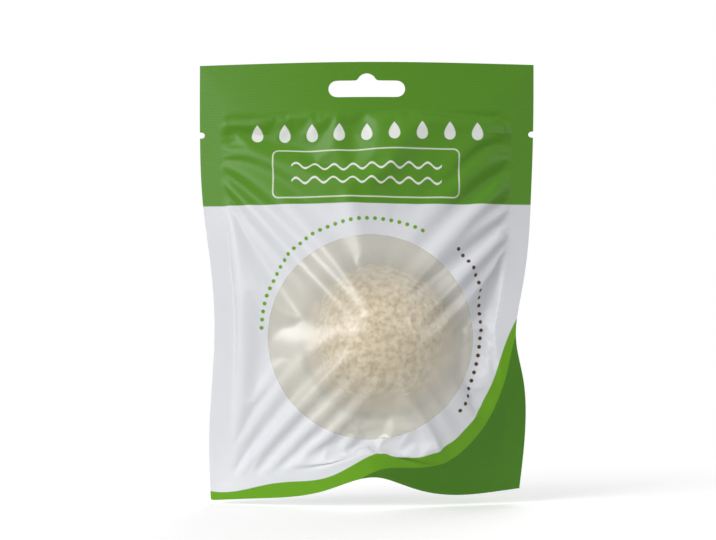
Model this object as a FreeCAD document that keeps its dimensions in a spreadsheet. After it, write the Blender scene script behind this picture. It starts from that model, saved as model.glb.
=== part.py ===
"""Konjac sponge sealed in its hanging shop pouch.

The pouch is two webs of film welded together round the edge. The front web has a round clear
window, and both webs have a hang slot at the top and a tear notch in each side. Tearing from
notch to notch takes the header off, and the half-ball sponge then slides out of the mouth.

The webs are bowed as on a filled pouch: the header and the bottom weld stand forward in their
middle, and the side welds come forward beside the sponge.

Frame: +Z up, the pouch faces -Y, X across. The origin is the axis of the shop peg, at the
centre of the slot's round lobe, where the two webs meet. Millimetres.
"""

import FreeCAD, Part
import Sketcher
import os

SIZES = (
    ("film_thickness", 0.15, "one web of film"),
    ("top_width", 128.4, "across the top corners"),
    ("top_rise", 1.5, "bow of the top edge above its corners"),
    ("edge_above_peg", 8.3, "top edge above the peg's axis"),
    ("straight_side", 52.0, "length of side from the top corner to where it starts to draw in"),
    ("corner_height", 164.4, "from the top corners down to the bottom corners"),
    ("bottom_width", 119.6, "across the bottom corners"),
    ("side_pinch", 4.1, "how far the filled pouch draws its sides in"),
    ("bottom_arch", 64.0, "width of the arch in the bottom edge"),
    ("bottom_rise", 6.4, "height of that arch above the bottom corners"),
    ("top_seal", 18.8, "top edge to the lower edge of the top weld"),
    ("side_seal", 8.5, "width of the side welds"),
    ("bottom_seal", 13.0, "bottom corners to the upper edge of the bottom weld"),
    ("slot_length", 30.0, "hang slot, end to end"),
    ("slot_height", 6.4, "straight part of the hang slot"),
    ("hole_height", 9.2, "hang slot with its lobe"),
    ("lobe_radius", 3.9, "round lobe that sits on the peg"),
    ("tear_drop", 19.6, "tear line below the peg's axis"),
    ("notch_depth", 2.0, "tear notch, into the film"),
    ("notch_height", 2.4, "tear notch, along the edge"),
    ("window_diameter", 79.0, "clear round window"),
    ("window_lift", 0.5, "window's centre above the sponge's centre"),
    ("window_shift", 1.7, "window's centre to the right of the peg's axis"),
    ("sponge_diameter", 62.0, "dry half-ball sponge"),
    ("sponge_height", 31.0, "flat back to the top of the dome"),
    ("sponge_rim", 5.0, "rounding of the rim round the flat back"),
    ("sponge_back", 9.9, "flat back of the sponge behind the peg's plane"),
    ("sponge_foot", 15.6, "sponge's lowest point above the bottom weld"),
    ("sponge_shift", 6.0, "sponge's centre to the right of the peg's axis"),
    ("film_gap", 0.4, "least room between the sponge and the film"),
    ("header_bow", 4.4, "middle of the header in front of the side welds"),
    ("side_forward", 2.6, "side welds in front of the peg's plane, beside the sponge"),
    ("foot_back", 3.4, "side welds behind the peg's plane, at the bottom weld"),
    ("foot_bow", 14.4, "middle of the bottom weld in front of the side welds"),
    ("weld_lean", 2.0, "outer edge of a side weld behind its inner edge"),
    ("overrun", 5.0, "how far cutting shapes run past what they cut"),
)

# Both webs have their sections at the same heights, so that their welds meet all the way down.
# Beside the sponge: height above its centre and half width of the back web's flat, as shares of the
# sponge's radius, and the front web's depth as a share of its depth at the dome's top.
side_shares = (
    (0.95, 0.95, 0.76),
    (0.45, 1.05, 0.92),
    (0.0, 1.05, 1.0),
    (-0.45, 0.95, 0.88),
    (-0.95, 0.62, 0.5),
)
# Above and below that: share of the way to the end weld, and the front web's depth as before.
rise_shares = ((0.9, 0.17), (0.6, 0.42), (0.3, 0.61))
fall_shares = ((0.5, 0.2),)
# Where a bowed section is divided into three lengths, as a share of the room's half width.
shoulder_share = 0.5

doc = FreeCAD.newDocument("konjac_sponge_pouch")
sheet = doc.addObject("Spreadsheet::Sheet", "Size")
for row, (name, length, meaning) in enumerate(SIZES, start=1):
    sheet.set(f"A{row}", name)
    sheet.set(f"B{row}", str(length))
    sheet.set(f"C{row}", meaning)
    sheet.setAlias(f"B{row}", name)
doc.recompute()

# Places that several pieces share, as expressions on the sheet.
CORNER_Z = "(Size.edge_above_peg - Size.top_rise)"
PINCH_Z = f"({CORNER_Z} - Size.straight_side)"
BASE_Z = f"({CORNER_Z} - Size.corner_height)"
TEAR_Z = "(-Size.tear_drop)"
TOP_WELD_Z = "(Size.edge_above_peg - Size.top_seal)"
BASE_WELD_Z = f"({BASE_Z} + Size.bottom_seal)"
SPONGE_Z = f"({BASE_WELD_Z} + Size.sponge_foot + Size.sponge_diameter / 2)"
ABOVE_Z = "(Size.edge_above_peg + Size.overrun)"
BELOW_Z = f"({BASE_Z} - 2 * Size.overrun)"


def number(expression):
    """The value of an expression on the sheet."""
    return float(sheet.evalExpression(expression))


def origin_plane(body, role):
    return next(plane for plane in body.Origin.OriginFeatures if plane.Role == role)


def new_sketch(body, name, role, height=None):
    """A sketch on one of the body's origin planes, lifted to a height where one is given."""
    sketch = body.newObject("Sketcher::SketchObject", name)
    sketch.AttachmentSupport = (origin_plane(body, role), [""])
    sketch.MapMode = "FlatFace"
    if height:
        sketch.setExpression("AttachmentOffset.Base.z", height)
    return sketch


def bind(sketch, constraint, expression):
    index = sketch.addConstraint(constraint)
    sketch.setExpression(f"Constraints[{index}]", expression)


def closed_profile(sketch, corners):
    """Draws a closed run of lines and arcs from corner to corner.

    A corner is (across, up, bow): its place, and how far the edge from it to the next corner
    bows to the left of its way. A straight edge has None there.
    """
    places = [FreeCAD.Vector(number(across), number(up), 0) for across, up, bow in corners]
    first_ends = []
    last_ends = []
    for index, (across, up, bow) in enumerate(corners):
        start = places[index]
        end = places[(index + 1) % len(corners)]
        way = end - start
        if bow is None:
            edge = sketch.addGeometry(Part.LineSegment(start, end))
        else:
            left = FreeCAD.Vector(-way.y, way.x, 0).normalize()
            middle = (start + end) / 2 + left * number(bow)
            edge = sketch.addGeometry(Part.Arc(start, middle, end))
        begins = sketch.getPoint(edge, 1).isEqual(start, number("Size.film_thickness") / 100)
        first_ends.append((edge, 1 if begins else 2))
        last_ends.append((edge, 2 if begins else 1))
    for index, (across, up, bow) in enumerate(corners):
        edge, point = first_ends[index]
        sketch.addConstraint(Sketcher.Constraint("Coincident", *last_ends[index - 1], edge, point))
        for kind, place in (("DistanceX", across), ("DistanceY", up)):
            bind(sketch, Sketcher.Constraint(kind, -1, 1, edge, point, number(place)), place)
        if bow is not None:
            next_across, next_up, next_bow = corners[(index + 1) % len(corners)]
            chord = f"(({next_across} - ({across}))^2 + ({next_up} - ({up}))^2)"
            radius = f"({chord} / 4 + ({bow})^2) / (2 * abs({bow}))"
            bind(sketch, Sketcher.Constraint("Radius", edge, number(radius)), radius)


def web_outline(sketch):
    """The pouch's edge: bowed top, straight then drawn-in sides, arched bottom."""
    half_top = "Size.top_width / 2"
    half_base = "Size.bottom_width / 2"
    half_arch = "Size.bottom_arch / 2"
    hump = f"(({half_base} - {half_arch}) / 2 * Size.bottom_rise / ({half_arch}))"
    closed_profile(
        sketch,
        (
            (f"-{half_top}", CORNER_Z, "Size.top_rise"),
            (half_top, CORNER_Z, None),
            (half_top, PINCH_Z, "-Size.side_pinch"),
            (half_base, BASE_Z, hump),
            (half_arch, BASE_Z, "-Size.bottom_rise"),
            (f"-{half_arch}", BASE_Z, hump),
            (f"-{half_base}", BASE_Z, "-Size.side_pinch"),
            (f"-{half_top}", PINCH_Z, None),
        ),
    )


def quarter_bow(radius):
    """How far a quarter circle bows from its chord."""
    return f"({radius}) * (1 - cos(45))"


def slot_outline(sketch):
    """The hang slot: a long round-ended slot with a lobe in the middle of its upper edge."""
    end_radius = "Size.slot_height / 2"
    half_length = "Size.slot_length / 2"
    straight = f"({half_length} - {end_radius})"
    foot_z = "(Size.lobe_radius - Size.hole_height)"
    middle_z = f"({foot_z} + {end_radius})"
    roof_z = f"({foot_z} + Size.slot_height)"
    lobe_foot = f"sqrt(Size.lobe_radius^2 - {roof_z}^2)"
    round_end = f"-{quarter_bow(end_radius)}"
    closed_profile(
        sketch,
        (
            (f"-{straight}", foot_z, None),
            (straight, foot_z, round_end),
            (half_length, middle_z, round_end),
            (straight, roof_z, None),
            (lobe_foot, roof_z, f"-(Size.lobe_radius - {roof_z})"),
            (f"-{lobe_foot}", roof_z, None),
            (f"-{straight}", roof_z, round_end),
            (f"-{half_length}", middle_z, round_end),
        ),
    )


def notch_outline(sketch, hand):
    """One tear notch, open at the pouch's side; hand is - for the left side."""
    half_height = "Size.notch_height / 2"
    root = "Size.top_width / 2 - Size.notch_depth"
    outside = f"{hand}(Size.top_width / 2 + Size.overrun)"
    inside = f"{hand}({root} + {half_height})"
    round_root = quarter_bow(half_height) if hand == "-" else f"-{quarter_bow(half_height)}"
    closed_profile(
        sketch,
        (
            (outside, f"{TEAR_Z} + {half_height}", None),
            (inside, f"{TEAR_Z} + {half_height}", round_root),
            (f"{hand}({root})", TEAR_Z, round_root),
            (inside, f"{TEAR_Z} - {half_height}", None),
            (outside, f"{TEAR_Z} - {half_height}", None),
        ),
    )


def inner_half_width(height):
    """Half the room between the side welds at a height, following the drawn-in sides."""
    share = f"max(0; ({PINCH_Z} - ({height})) / ({PINCH_Z} - {BASE_Z}))"
    narrowing = f"(Size.top_width - Size.bottom_width) / 2 * {share}"
    pinch = f"4 * Size.side_pinch * {share} * (1 - {share})"
    return f"(Size.top_width / 2 - Size.side_seal - {narrowing} - {pinch})"


# The front web clears the dome, which lies to one side of the web's middle, so the two bends tell
# how much more room its flank needs.
ROOM = inner_half_width(SPONGE_Z)
PEAK = "(Size.sponge_height - Size.sponge_back)"
DOME = "(Size.sponge_height - Size.sponge_rim)"
DOME_BEND = f"({DOME} / ((Size.sponge_diameter / 2)^2 + {DOME}^2))"
FILM_BEND = f"(({PEAK} - Size.side_forward) / {ROOM}^2)"
FLANK = f"({DOME_BEND} * {FILM_BEND} / ({DOME_BEND} - {FILM_BEND}) * Size.sponge_shift^2)"
FRONT_PEAK = f"(-({PEAK} + Size.film_gap + {FLANK}))"
BACK_FLAT = "(Size.sponge_back + Size.film_gap)"

# Each end weld: its height, the depth of its two ends and the depth of its middle.
TOP_END = (TOP_WELD_Z, "Size.header_bow", "0")
BASE_END = (BASE_WELD_Z, "Size.foot_back", "(Size.foot_back - Size.foot_bow)")


def between(start, end, share):
    return f"({start} + (({end}) - ({start})) * {share})"


def beside_sponge(share):
    """A height beside the sponge, as a share of its radius above its centre."""
    return f"({SPONGE_Z} + {share} * Size.sponge_diameter / 2)"


def rim_depth(height, end):
    """Depth of the side welds' inner edges: forward beside the sponge, then back to an end weld."""
    weld_height, ends, middle = end
    share = f"(({height} - {SPONGE_Z}) / ({weld_height} - {SPONGE_Z}))"
    return between("(-Size.side_forward)", ends, f"(1 - cos(90 * {share}))")


# A run goes across a web from one side weld to the other. Its places are (across, depth, bow of the
# edge to the next place).
def bowed_run(half_width, rim, middle):
    """A run in one arc, drawn in three lengths that meet at two shoulders."""
    bow = f"({rim} - {middle})"
    radius = f"(({half_width}^2 + {bow}^2) / (2 * {bow}))"
    reach = f"({shoulder_share} * {half_width})"
    sag = f"({radius} - sqrt({radius}^2 - {reach}^2))"
    chord = f"(({half_width} - {reach})^2 + ({bow} - {sag})^2)"
    outer_bow = f"(-({radius} - sqrt({radius}^2 - {chord} / 4)))"
    shoulder = f"({middle} + {sag})"
    return [
        (f"-{half_width}", rim, outer_bow),
        (f"-{reach}", shoulder, f"(-{sag})"),
        (reach, shoulder, outer_bow),
        (half_width, rim, None),
    ]


def end_run(end):
    weld_height, ends, middle = end
    return bowed_run(inner_half_width(weld_height), ends, middle)


def front_run(height, end, depth_share):
    """The front web, bowed over the sponge and the room above and below it."""
    weld_height, ends, middle = end
    depth = between(middle, FRONT_PEAK, depth_share)
    return bowed_run(inner_half_width(height), rim_depth(height, end), depth)


def back_run(height, end, spread, way):
    """The back web: two straight flanks and a flat, which lies behind the sponge and goes over into
    the end weld's middle length with the share of the way to it."""
    flat_left = f"(Size.sponge_shift - {spread} * Size.sponge_diameter / 2)"
    flat_right = f"(Size.sponge_shift + {spread} * Size.sponge_diameter / 2)"
    weld_left, weld_right = end_run(end)[1:3]
    depth = between(BACK_FLAT, weld_left[1], way)
    half_width = inner_half_width(height)
    rim = rim_depth(height, end)
    return [
        (f"-{half_width}", rim, None),
        (between(flat_left, weld_left[0], way), depth, None),
        (between(flat_right, weld_right[0], way), depth, None),
        (half_width, rim, None),
    ]


def web_section(run, to_front):
    """Corners of a closed section: a run with a leaning side weld at each end, and the same again
    one film further out."""
    half_width, rim, bow = run[-1]
    wide = "(Size.top_width / 2 + Size.overrun)"
    edge = f"({rim} + Size.weld_lean * ({wide} - {half_width}) / Size.side_seal)"
    inner = [(f"-{wide}", edge, None)] + run + [(wide, edge, None)]
    shift = "- Size.film_thickness" if to_front else "+ Size.film_thickness"
    outer = []
    for index in reversed(range(len(inner))):
        across, depth, bow = inner[index]
        bow_back = inner[index - 1][2] if index else None
        outer.append((across, f"({depth} {shift})", f"(-{bow_back})" if bow_back else None))
    return inner + outer


def web_sections(to_front):
    """Height and corners of each section of a web, from the top down."""
    flat_top, top_spread, depth = side_shares[0]
    flat_foot, foot_spread, depth = side_shares[-1]
    places = []
    for way, depth in rise_shares:
        height = between(beside_sponge(flat_top), TOP_WELD_Z, way)
        places.append((height, TOP_END, depth, top_spread, way))
    for rise, spread, depth in side_shares:
        places.append((beside_sponge(rise), TOP_END if rise > 0 else BASE_END, depth, spread, 0))
    for way, depth in fall_shares:
        height = between(beside_sponge(flat_foot), BASE_WELD_Z, way)
        places.append((height, BASE_END, depth, foot_spread, way))
    header = web_section(end_run(TOP_END), to_front)
    foot = web_section(end_run(BASE_END), to_front)
    sections = [(ABOVE_Z, header), (TOP_WELD_Z, header)]
    for height, end, depth, spread, way in places:
        run = front_run(height, end, depth) if to_front else back_run(height, end, spread, way)
        sections.append((height, web_section(run, to_front)))
    return sections + [(BASE_WELD_Z, foot), (BELOW_Z, foot)]


def make_shell(name, sections):
    """A web before it is cut out: one film thick, and wider and longer than the pouch."""
    body = doc.addObject("PartDesign::Body", name)
    drawn = []
    for index, (height, corners) in enumerate(sections):
        sketch = new_sketch(body, f"{name}_{index}", "XY_Plane", height)
        closed_profile(sketch, corners)
        drawn.append(sketch)
    shell = body.newObject("PartDesign::AdditiveLoft", f"{name}_loft")
    shell.Profile = (drawn[0], [""])
    shell.Sections = [(sketch, [""]) for sketch in drawn[1:]]
    shell.Ruled = True
    body.Tip = shell
    return body


def make_cutter():
    """The pouch's outline as a block, with the hang slot and the notches through it."""
    body = doc.addObject("PartDesign::Body", "cutter")
    outline = new_sketch(body, "cutter_outline", "XZ_Plane")
    web_outline(outline)
    block = body.newObject("PartDesign::Pad", "cutter_block")
    block.Profile = outline
    block.Midplane = True
    block.setExpression("Length", "2 * (Size.sponge_height + Size.overrun)")
    cuts = new_sketch(body, "cutter_cuts", "XZ_Plane")
    slot_outline(cuts)
    notch_outline(cuts, "")
    notch_outline(cuts, "-")
    punched = body.newObject("PartDesign::Pocket", "cutter_punched")
    punched.Profile = cuts
    punched.Midplane = True
    punched.setExpression("Length", "2 * (Size.sponge_height + 2 * Size.overrun)")
    body.Tip = punched
    return body


def combine(kind, label, base, tool):
    result = doc.addObject(kind, label)
    result.Label = label
    result.Base = base
    result.Tool = tool
    return result


def make_header_block():
    """The space above the tear line, which divides each web into header and panel."""
    block = doc.addObject("Part::Box", "header_block")
    block.setExpression("Length", "Size.top_width + 2 * Size.overrun")
    block.setExpression("Width", "2 * Size.overrun + 2 * Size.sponge_height")
    block.setExpression("Height", "Size.tear_drop + Size.edge_above_peg + Size.overrun")
    block.setExpression("Placement.Base.x", "-Size.top_width / 2 - Size.overrun")
    block.setExpression("Placement.Base.y", "-Size.overrun - Size.sponge_height")
    block.setExpression("Placement.Base.z", TEAR_Z)
    return block


def make_window_column():
    """A round column through the front web, as wide as the window."""
    column = doc.addObject("Part::Cylinder", "window_column")
    column.setExpression("Radius", "Size.window_diameter / 2")
    column.setExpression("Height", "Size.sponge_height + 2 * Size.overrun")
    column.Placement.Rotation = FreeCAD.Rotation(FreeCAD.Vector(1, 0, 0), 90)
    column.setExpression("Placement.Base.x", "Size.window_shift")
    column.setExpression("Placement.Base.y", "Size.overrun")
    column.setExpression("Placement.Base.z", f"{SPONGE_Z} + Size.window_lift")
    return column


def make_sponge():
    """The dry sponge: half a ball with a flat back and a rounded rim."""
    body = doc.addObject("PartDesign::Body", "sponge")
    profile = new_sketch(body, "sponge_profile", "XY_Plane")
    radius = "Size.sponge_diameter / 2"
    dome_bow = f"sqrt(({radius})^2 + {DOME}^2) / 2 * tan(atan({DOME} / ({radius})) / 2)"
    closed_profile(
        profile,
        (
            ("0", "Size.sponge_back", None),
            (f"{radius} - Size.sponge_rim", "Size.sponge_back", quarter_bow("Size.sponge_rim")),
            (radius, "Size.sponge_back - Size.sponge_rim", dome_bow),
            ("0", "Size.sponge_back - Size.sponge_height", None),
        ),
    )
    ball = body.newObject("PartDesign::Revolution", "sponge_ball")
    ball.Profile = profile
    ball.ReferenceAxis = (profile, ["V_Axis"])
    ball.Angle = 360
    body.Tip = ball
    body.setExpression("Placement.Base.x", "Size.sponge_shift")
    body.setExpression("Placement.Base.z", SPONGE_Z)
    return body


cutter = make_cutter()
front_shell = make_shell("front_shell", web_sections(to_front=True))
back_shell = make_shell("back_shell", web_sections(to_front=False))
front_web = combine("Part::Common", "front_web", front_shell, cutter)
back_web = combine("Part::Common", "back_web", back_shell, cutter)
header_block = make_header_block()
window_column = make_window_column()
sponge = make_sponge()

header_front = combine("Part::Common", "header_front", front_web, header_block)
header_back = combine("Part::Common", "header_back", back_web, header_block)
front_below = combine("Part::Cut", "front_below", front_web, header_block)
front_panel = combine("Part::Cut", "front_panel", front_below, window_column)
front_window = combine("Part::Common", "front_window", front_below, window_column)
back_panel = combine("Part::Cut", "back_panel", back_web, header_block)
doc.recompute()

failed = [item.Label for item in doc.Objects if {"Invalid", "Error"} & set(item.State)]
if failed:
    raise RuntimeError(f"these did not build: {failed}")

pieces = (header_front, header_back, front_panel, front_window, back_panel, sponge)
for piece in pieces:
    if piece.Shape.isNull() or not piece.Shape.isValid() or len(piece.Shape.Solids) != 1:
        raise RuntimeError(f"{piece.Label} is not one sound solid")

os.makedirs("parts", exist_ok=True)
for piece in pieces:
    piece.Shape.exportStep(f"parts/{piece.Label}.step")
    box = piece.Shape.optimalBoundingBox()
    print(
        f"{piece.Label}: {box.XLength:.1f} x {box.YLength:.1f} x {box.ZLength:.1f} mm,"
        f" {piece.Shape.Volume:.1f} mm3"
    )
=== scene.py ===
# %% [markdown]
# A konjac sponge in its hanging pouch.
# The pouch is two webs of thin film, welded round the rim, with a punched hanging slot in its
# header, a clear round window in the front and one soft half ball of sponge inside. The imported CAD
# model gives the frame: every piece below is made in metres in that frame and rides on its bodies.

import math

import bpy
import numpy as np
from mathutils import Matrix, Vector
from mathutils.bvhtree import BVHTree
from mathutils.geometry import delaunay_2d_cdt
from mathutils.kdtree import KDTree


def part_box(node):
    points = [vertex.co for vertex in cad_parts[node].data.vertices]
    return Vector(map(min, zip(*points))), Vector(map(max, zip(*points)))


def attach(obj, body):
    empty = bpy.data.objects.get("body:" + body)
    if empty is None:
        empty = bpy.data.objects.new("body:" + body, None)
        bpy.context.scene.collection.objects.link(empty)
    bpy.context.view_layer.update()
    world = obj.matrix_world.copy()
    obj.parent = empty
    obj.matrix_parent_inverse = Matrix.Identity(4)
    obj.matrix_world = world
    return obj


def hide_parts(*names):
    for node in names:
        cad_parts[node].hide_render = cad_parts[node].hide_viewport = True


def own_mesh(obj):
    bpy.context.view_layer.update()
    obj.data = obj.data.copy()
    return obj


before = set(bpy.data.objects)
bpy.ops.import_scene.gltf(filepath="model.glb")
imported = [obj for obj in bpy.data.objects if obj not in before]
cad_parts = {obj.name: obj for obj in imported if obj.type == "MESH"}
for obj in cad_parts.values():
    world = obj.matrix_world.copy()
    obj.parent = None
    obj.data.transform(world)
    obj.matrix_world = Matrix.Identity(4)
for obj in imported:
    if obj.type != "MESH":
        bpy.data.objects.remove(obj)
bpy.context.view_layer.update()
scene = bpy.context.scene
bpy.ops.object.select_all(action="DESELECT")

# %% [markdown]
# The camera comes first, because the photograph's own pixels place the film's edges. The pouch was
# photographed square on, so the camera looks along +Y. The hanging slot is a common 30 mm punch and
# 78 pixels wide, which gives the scale, and its middle is the frame's origin.

# %% Camera
MM = 0.001
IMAGE_WIDTH, IMAGE_HEIGHT = 716, 540
MM_PER_PIXEL = 0.385
SLOT_PIXEL = (366.0, 83.7)
EYE_DISTANCE = 900.0
SENSOR = 36.0

eye_x = (IMAGE_WIDTH / 2 - SLOT_PIXEL[0]) * MM_PER_PIXEL
eye_z = (SLOT_PIXEL[1] - IMAGE_HEIGHT / 2) * MM_PER_PIXEL
bpy.ops.object.camera_add(
    location=(eye_x * MM, -EYE_DISTANCE * MM, eye_z * MM), rotation=(math.pi / 2, 0, 0))
camera = bpy.context.object
camera.data.sensor_width = SENSOR
camera.data.lens = SENSOR * EYE_DISTANCE / (IMAGE_WIDTH * MM_PER_PIXEL)
scene.camera = camera
print("camera lens", round(camera.data.lens, 1), "mm")

# %% [markdown]
# Both webs are cut flat, 130 mm wide and 169.5 mm long, and printed flat. All the print is drawn in
# these flat millimetres, so they are kept as each web's UV map: it stays on the film however the
# film folds. The cut has a hanging slot and a tear notch at each side.

# %% Flat cut of a web
HALF_WIDTH, TOP, BASE = 65.0, 8.3, -161.2
TEAR = -19.6
TOP_WELD, SIDE_WELD, BASE_WELD = 18.8, 8.5, 9.5
WINDOW_X, WINDOW_Z, WINDOW_RADIUS = 1.7, -97.5, 39.5
SLOT_HALF, SLOT_ROOF, SLOT_FLOOR, LOBE_RADIUS = 15.0, 1.1, -5.3, 3.9
NOTCH_RADIUS, NOTCH_DEPTH = 1.2, 2.0
UV_SPAN = 170.0


def arc(x, z, radius, start, end, count):
    turns = np.radians(np.linspace(start, end, count))
    return [(x + radius * math.cos(t), z + radius * math.sin(t)) for t in turns]


def walk(corners, step, closed=True):
    """Points about one step apart along straight runs between corners."""
    ends = corners[1:] + (corners[:1] if closed else [])
    points = []
    for a, b in zip(corners, ends):
        a, b = np.array(a, float), np.array(b, float)
        count = max(1, round(float(np.linalg.norm(b - a)) / step))
        points += [a + (b - a) * i / count for i in range(count)]
    return points if closed else points + [np.array(corners[-1], float)]


def slot_outline():
    end = (SLOT_ROOF - SLOT_FLOOR) / 2
    middle = (SLOT_ROOF + SLOT_FLOOR) / 2
    lean = math.degrees(math.asin(SLOT_ROOF / LOBE_RADIUS))
    return (arc(SLOT_HALF - end, middle, end, -90, 90, 9)
            + arc(0, 0, LOBE_RADIUS, lean, 180 - lean, 9)
            + arc(end - SLOT_HALF, middle, end, 90, 270, 9))


def web_outline():
    notch_x = HALF_WIDTH - NOTCH_DEPTH + NOTCH_RADIUS
    notch = ([(HALF_WIDTH, TEAR - NOTCH_RADIUS)] + arc(notch_x, TEAR, NOTCH_RADIUS, 270, 90, 7)
             + [(HALF_WIDTH, TEAR + NOTCH_RADIUS)])
    mirrored = [(-x, z) for x, z in reversed(notch)]
    return ([(-HALF_WIDTH, BASE), (HALF_WIDTH, BASE)] + notch
            + [(HALF_WIDTH, TOP), (-HALF_WIDTH, TOP)] + mirrored)


def weld_outline():
    return [(SIDE_WELD - HALF_WIDTH, BASE + BASE_WELD), (HALF_WIDTH - SIDE_WELD, BASE + BASE_WELD),
            (HALF_WIDTH - SIDE_WELD, TOP - TOP_WELD), (SIDE_WELD - HALF_WIDTH, TOP - TOP_WELD)]


print("outline:", len(web_outline()), "corners; slot:", len(slot_outline()), "points")

# %% [markdown]
# Film has no grain that favours one direction, so each web is filled with even triangles: points in
# staggered rows, joined by a Delaunay triangulation that keeps the cut, weld and tear lines as edges.
# The front, which is seen most and folds most, has the finer triangles.

# %% Triangles of a web
FRONT_STEP, BACK_STEP = 1.6, 2.4
EDGE_SPACE = 0.62


def inside(points, loop):
    """Which points lie inside a closed loop, by counting crossings."""
    within = np.zeros(len(points), bool)
    for (xa, za), (xb, zb) in zip(loop, loop[1:] + loop[:1]):
        crosses = (za > points[:, 1]) != (zb > points[:, 1])
        level = (xb - xa) * (points[:, 1] - za) / (zb - za + 1e-12) + xa
        within ^= crosses & (points[:, 0] < level)
    return within


def flat_web(step):
    """A flat web as points and triangles, with its edges on every cut, weld and tear line."""
    outline = [tuple(p) for p in walk(web_outline(), step)]
    slot = [tuple(p) for p in walk(slot_outline(), step)]
    loops = [outline, slot, [tuple(p) for p in walk(weld_outline(), step)]]
    points, edges = [], []
    for loop in loops:
        first = len(points)
        points += loop
        edges += [(first + i, first + (i + 1) % len(loop)) for i in range(len(loop))]
    tear_x = HALF_WIDTH - NOTCH_DEPTH
    tear = walk([(-tear_x, TEAR), (tear_x, TEAR)], step, closed=False)
    first = len(points)
    points += [tuple(p) for p in tear]
    edges += [(first + i, first + i + 1) for i in range(len(tear) - 1)]

    near = KDTree(len(points))
    for i, (x, z) in enumerate(points):
        near.insert((x, z, 0), i)
    near.balance()
    row_step = step * math.sqrt(3) / 2
    for row in range(1, int((TOP - BASE) / row_step)):
        z = BASE + row * row_step
        x = -HALF_WIDTH + step * (0.5 + 0.5 * (row % 2))
        while x < HALF_WIDTH - 0.4 * step:
            if near.find((x, z, 0))[2] > EDGE_SPACE * step:
                points.append((x, z))
            x += step
    placed, _, faces, *_ = delaunay_2d_cdt([Vector(p) for p in points], edges, [], 0, 1e-5)
    placed, faces = np.array([tuple(p) for p in placed]), np.array(faces)
    middles = placed[faces].mean(1)
    faces = faces[inside(middles, outline) & ~inside(middles, slot)]
    used, renumbered = np.unique(faces, return_inverse=True)
    return placed[used], renumbered.reshape(-1, 3)


front_flat, front_faces = flat_web(FRONT_STEP)
back_flat, back_faces = flat_web(BACK_STEP)
print("front web", len(front_flat), "points; back web", len(back_flat), "points")

# %% [markdown]
# The welded rim is stiff and holds its bends, and the photograph shows them: the sides pinch in
# beside the sponge and the bottom edge rises in a wave. Each edge is a smooth curve through a few
# points read from the photograph, with a depth chosen so that the bent edge keeps the flat edge's
# length: an edge that looks short leans towards the camera or away from it. Depths are counted from
# the webs' flat plane, which lies a little behind the frame's origin in the middle of the header.

# %% Bent rim
def smooth_curve(at, knots, values):
    """A natural cubic through (knots, values), read at the places in at."""
    knots, values = np.array(knots, float), np.array(values, float)
    count, gap = len(knots), np.diff(knots)
    system, right = np.zeros((count, count)), np.zeros(count)
    system[0, 0] = system[-1, -1] = 1
    for i in range(1, count - 1):
        system[i, i - 1:i + 2] = gap[i - 1], 2 * (gap[i - 1] + gap[i]), gap[i]
        right[i] = 3 * ((values[i + 1] - values[i]) / gap[i]
                        - (values[i] - values[i - 1]) / gap[i - 1])
    bend = np.linalg.solve(system, right)
    slope = np.diff(values) / gap - gap * (2 * bend[:-1] + bend[1:]) / 3
    twist = np.diff(bend) / (3 * gap)
    k = np.clip(np.searchsorted(knots, at) - 1, 0, count - 2)
    t = at - knots[k]
    return values[k] + slope[k] * t + bend[k] * t ** 2 + twist[k] * t ** 3


WEB_DEPTH = 4.4
SIDE_LEAN, BASE_LEAN, TOP_LEAN = 0.22, 0.25, 0.06
EDGE_REACH = 0.6
LEFT_EDGE = {"flat": [-161.2, -135, -112, -95, -72, -46, -20, 8.3],
             "x": [-59.7, -60.3, -59.0, -58.3, -59.6, -62.8, -63.9, -63.9],
             "y": [5, 0, -2, -2.5, -2, 0, 1.5, 2],
             "z": [-160.3, -134.4, -111.6, -94.7, -71.8, -46, -20.4, 6.8]}
RIGHT_EDGE = {"flat": [-161.2, -135, -118, -100, -84, -66, -46, -20, 8.3],
              "x": [59.0, 61.4, 60.6, 57.7, 59.6, 62.2, 63.4, 64.3, 64.5],
              "y": [7, 1, -5, -7.5, -5, -1.5, 0.5, 1.5, 2],
              "z": [-155.7, -130.5, -114, -97.3, -81.8, -64.5, -45.4, -20.0, 7.2]}
TOP_EDGE = {"flat": [-65, 0, 65], "x": [-63.9, 0.3, 64.5], "y": [2, -4, 2], "z": [6.8, 8.4, 7.2]}
BASE_EDGE = {"flat": [-65, -43, -17, 5, 14, 27, 40, 53, 65],
             "x": [-59.7, -40.5, -15.8, 4.6, 12.5, 23.9, 36.2, 48.2, 59.0],
             "y": [5, -2, -10, -14, -11, -6, -1, 3.5, 7],
             "z": [-160.3, -159.6, -156.7, -151.6, -153.8, -157.3, -158.3, -157.2, -155.7]}


def edge_place(edge, at):
    """A bent edge, at its photographed x and z and moved along the sight line to its depth."""
    x, y, z = (smooth_curve(at, edge["flat"], edge[axis]) for axis in "xyz")
    y = y + WEB_DEPTH
    nearer = 1 + y / EYE_DISTANCE
    return np.stack([eye_x + (x - eye_x) * nearer, y, eye_z + (z - eye_z) * nearer], -1)


def rim_place(flat):
    """Where a flat point goes if the whole web follows its edges, the nearest most."""
    u, v = flat[:, 0], flat[:, 1]
    runs = ((LEFT_EDGE, v, u + HALF_WIDTH, (1, -SIDE_LEAN, 0)),
            (RIGHT_EDGE, v, HALF_WIDTH - u, (-1, -SIDE_LEAN, 0)),
            (BASE_EDGE, u, v - BASE, (0, -BASE_LEAN, 1)),
            (TOP_EDGE, u, TOP - v, (0, -TOP_LEAN, -1)))
    total, place = 0, 0
    for edge, along, inwards, lean in runs:
        lean = np.array(lean) / np.linalg.norm(lean)
        pull = (1 / (inwards + EDGE_REACH) ** 3)[:, None]
        place = place + pull * (edge_place(edge, along) + inwards[:, None] * lean)
        total = total + pull
    return place / total


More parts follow.
